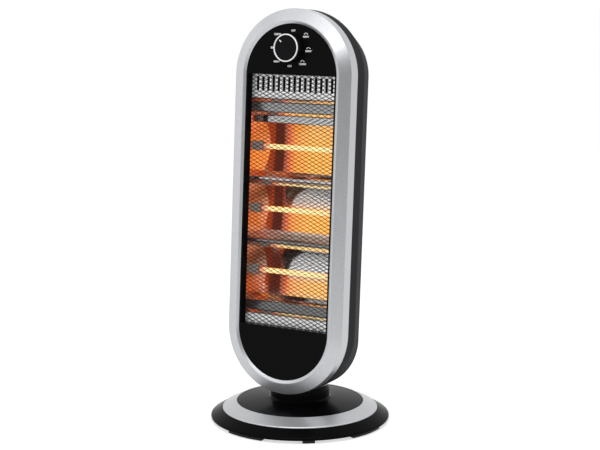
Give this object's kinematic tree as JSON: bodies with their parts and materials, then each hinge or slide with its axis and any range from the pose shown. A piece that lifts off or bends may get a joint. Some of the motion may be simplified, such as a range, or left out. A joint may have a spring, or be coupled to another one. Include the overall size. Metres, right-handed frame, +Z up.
{
  "type": "quartz heater",
  "caption": "Free-standing quartz heater: a leaning oval head with glowing tubes behind a mesh guard, swinging on a round base.",
  "frame": {"origin": "on the floor, at the centre of the foot circle, under the swing axis", "axes": "+Z up, the front of the heater faces -Y, +X to the right seen from the front"},
  "size_m": [0.28, 0.28, 0.6402],
  "materials": {
    "silver_paint": "satin silver paint on moulded plastic",
    "gloss_black": "gloss black moulding",
    "shell_grey": "fine-textured dark grey moulding",
    "black_plastic": "semi-gloss black moulding",
    "guard_black": "black enamel on expanded steel",
    "reflector_sheet": "polished aluminium sheet",
    "zinc_steel": "zinc-plated steel",
    "quartz": "milky quartz, glowing",
    "ceramic": "unglazed grey ceramic",
    "filament": "glowing resistance wire",
    "nylon": "natural nylon",
    "rubber": "matt black rubber",
    "white_print": "white insert"
  },
  "bodies": {
    "base": {"base_cover": "black_plastic", "base_trim_ring": "silver_paint", "base_plate": "zinc_steel", "cord_bush": "rubber", "swing_motor": "zinc_steel", "tip_guide": "black_plastic", "tip_spring": "zinc_steel", "tip_switch": "black_plastic", "foot_pad_wide_1": "rubber", "foot_pad_wide_2": "rubber", "foot_pad_wide_3": "rubber", "foot_pad_wide_4": "rubber", "foot_pad_narrow_1": "rubber", "foot_pad_narrow_2": "rubber", "foot_pad_narrow_3": "rubber", "foot_pad_narrow_4": "rubber"},
    "head": {"neck": "black_plastic", "swing_gear": "nylon", "rear_shell": "shell_grey", "bezel": "silver_paint", "front_panel": "gloss_black", "guard_mesh": "guard_black", "reflector": "reflector_sheet", "reflector_end_left": "reflector_sheet", "reflector_end_right": "reflector_sheet", "quartz_tube_upper": "quartz", "filament_upper": "filament", "end_cap_upper_left": "ceramic", "end_cap_upper_right": "ceramic", "quartz_tube_middle": "quartz", "filament_middle": "filament", "end_cap_middle_left": "ceramic", "end_cap_middle_right": "ceramic", "quartz_tube_lower": "quartz", "filament_lower": "filament", "end_cap_lower_left": "ceramic", "end_cap_lower_right": "ceramic", "heat_shield": "zinc_steel", "thermal_cutout": "zinc_steel", "terminal_block": "nylon", "rotary_switch": "black_plastic"},
    "knob": {"knob": "black_plastic", "knob_ring": "white_print", "knob_pointer": "white_print", "switch_shaft": "zinc_steel"},
    "pinion": {"drive_pinion": "nylon"},
    "plunger": {"tip_plunger": "nylon"}
  },
  "joints": [
    {"name": "head_swing", "type": "hinge", "parent": "base", "child": "head", "pos_m": [0, 0, 0.045], "axis": [0, 0, 1], "range_deg": [-35, 35]},
    {"name": "knob_turn", "type": "hinge", "parent": "head", "child": "knob", "pos_m": [0, -0.03409, 0.58163], "axis": [0, -0.9977, 0.0671], "continuous": true},
    {"name": "pinion_spin", "type": "hinge", "parent": "base", "child": "pinion", "pos_m": [0, 0.058, 0.022], "axis": [0, 0, 1], "range_deg": [-219, 219]},
    {"name": "tip_slide", "type": "slide", "parent": "base", "child": "plunger", "axis": [0, 0, -1], "range_m": [0, 0.004], "stiffness_N_per_m": 120, "springref_m": 0.012, "deforming": ["tip_spring"]}
  ],
  "couplings": [
    {"joint": "pinion_spin", "follows": "head_swing", "ratio": -6.25}
  ]
}
